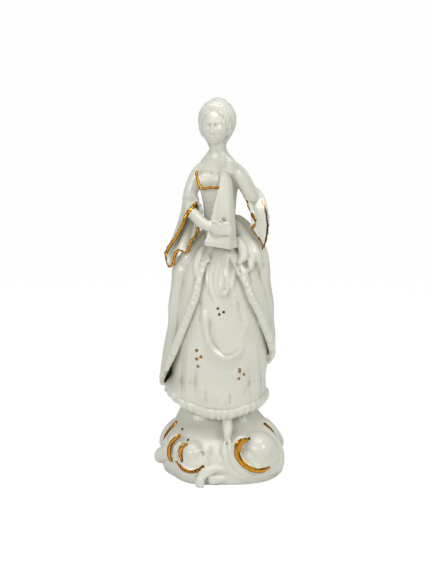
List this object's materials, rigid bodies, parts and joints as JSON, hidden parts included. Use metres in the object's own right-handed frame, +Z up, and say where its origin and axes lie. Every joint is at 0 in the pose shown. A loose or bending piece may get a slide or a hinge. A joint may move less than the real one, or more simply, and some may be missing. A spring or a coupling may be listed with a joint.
{
  "type": "faience figurine",
  "caption": "Standing lady in an open ruffled robe playing a triangular stringed instrument, cast in one piece with a round base of scrolls.",
  "frame": {"origin": "centre of the flat underside, on the ground", "axes": "+Z up, +X to the viewer's right, -Y towards the viewer, where the figure faces"},
  "size_m": [0.0718, 0.0665, 0.1996],
  "materials": {
    "glaze": "glossy grey-white glaze with hand-laid burnished gold lines, beads and dots"
  },
  "bodies": {
    "root": {"figurine": "glaze"}
  },
  "joints": []
}
